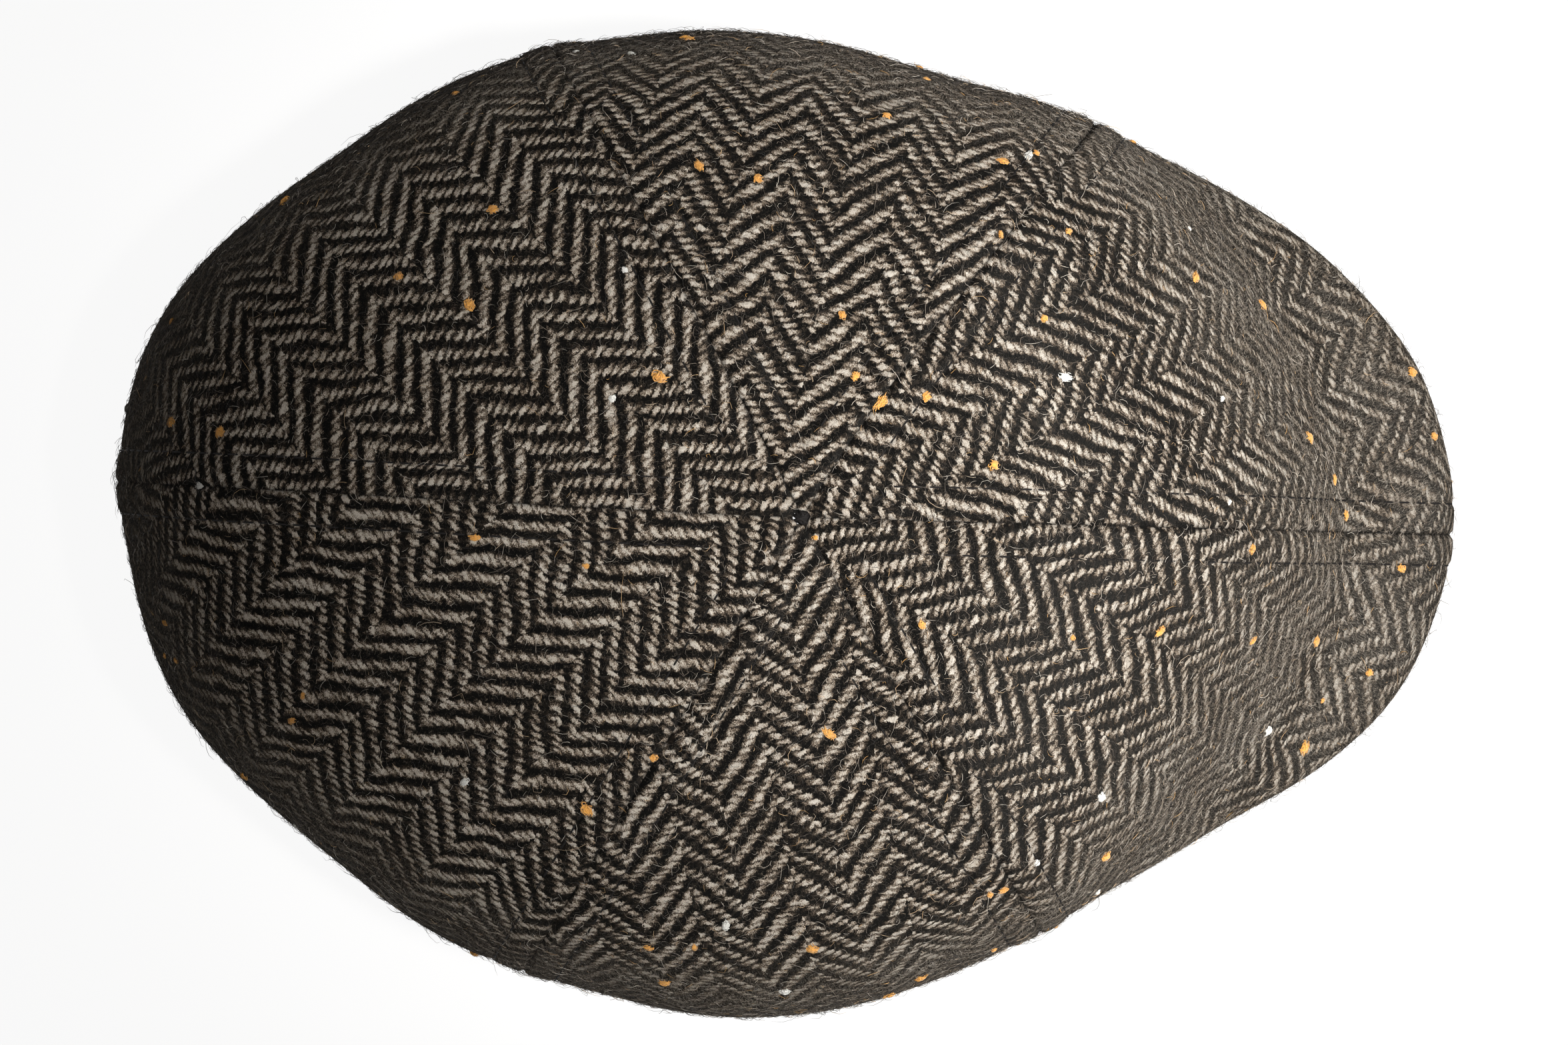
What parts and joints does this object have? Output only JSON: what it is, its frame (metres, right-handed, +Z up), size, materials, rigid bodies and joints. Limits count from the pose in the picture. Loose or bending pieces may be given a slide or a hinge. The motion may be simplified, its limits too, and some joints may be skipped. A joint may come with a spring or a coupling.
{
  "type": "newsboy cap",
  "caption": "Soft six-panel herringbone wool cap with a full crown that folds out over a head band and is snapped down on a short stiff visor.",
  "frame": {"origin": "centre of the head opening, on the plane that the head band's lower edge rests on", "axes": "+X points to the front of the cap along the visor, +Y to the wearer's left, +Z up through the crown"},
  "size_m": [0.2853, 0.208, 0.0922],
  "materials": {
    "crown_tweed": "herringbone wool, hairy, matt",
    "lining_satin": "satin",
    "seam_tape": "cotton tape",
    "buckram": "stiffened open weave",
    "sweatband_leather": "fine grain, slightly worn",
    "label_cloth": "woven, blank",
    "visor_board_plastic": "flexible sheet",
    "stud_metal": "black enamel",
    "thread": "sewing thread"
  },
  "bodies": {
    "crown": {"crown_panel_front_left": "crown_tweed", "crown_panel_side_left": "crown_tweed", "crown_panel_back_left": "crown_tweed", "crown_panel_back_right": "crown_tweed", "crown_panel_side_right": "crown_tweed", "crown_panel_front_right": "crown_tweed", "lining_panel_front_left": "lining_satin", "lining_panel_side_left": "lining_satin", "lining_panel_back_left": "lining_satin", "lining_panel_back_right": "lining_satin", "lining_panel_side_right": "lining_satin", "lining_panel_front_right": "lining_satin", "seam_tape_front": "seam_tape", "seam_tape_front_left": "seam_tape", "seam_tape_back_left": "seam_tape", "seam_tape_back": "seam_tape", "seam_tape_back_right": "seam_tape", "seam_tape_front_right": "seam_tape", "head_band": "crown_tweed", "band_stiffener": "buckram", "sweatband": "sweatband_leather", "size_label": "label_cloth", "crown_point_tack": "thread", "crown_stud_socket": "stud_metal"},
    "visor": {"visor_board": "visor_board_plastic", "visor_upper_cover": "crown_tweed", "visor_under_cover": "crown_tweed", "visor_stud_ball": "stud_metal"}
  },
  "joints": [
    {"name": "visor_flex", "type": "hinge", "parent": "crown", "child": "visor", "pos_m": [0.098, 0, 0.0112], "axis": [0, 1, 0], "range_deg": [0, 10]}
  ]
}
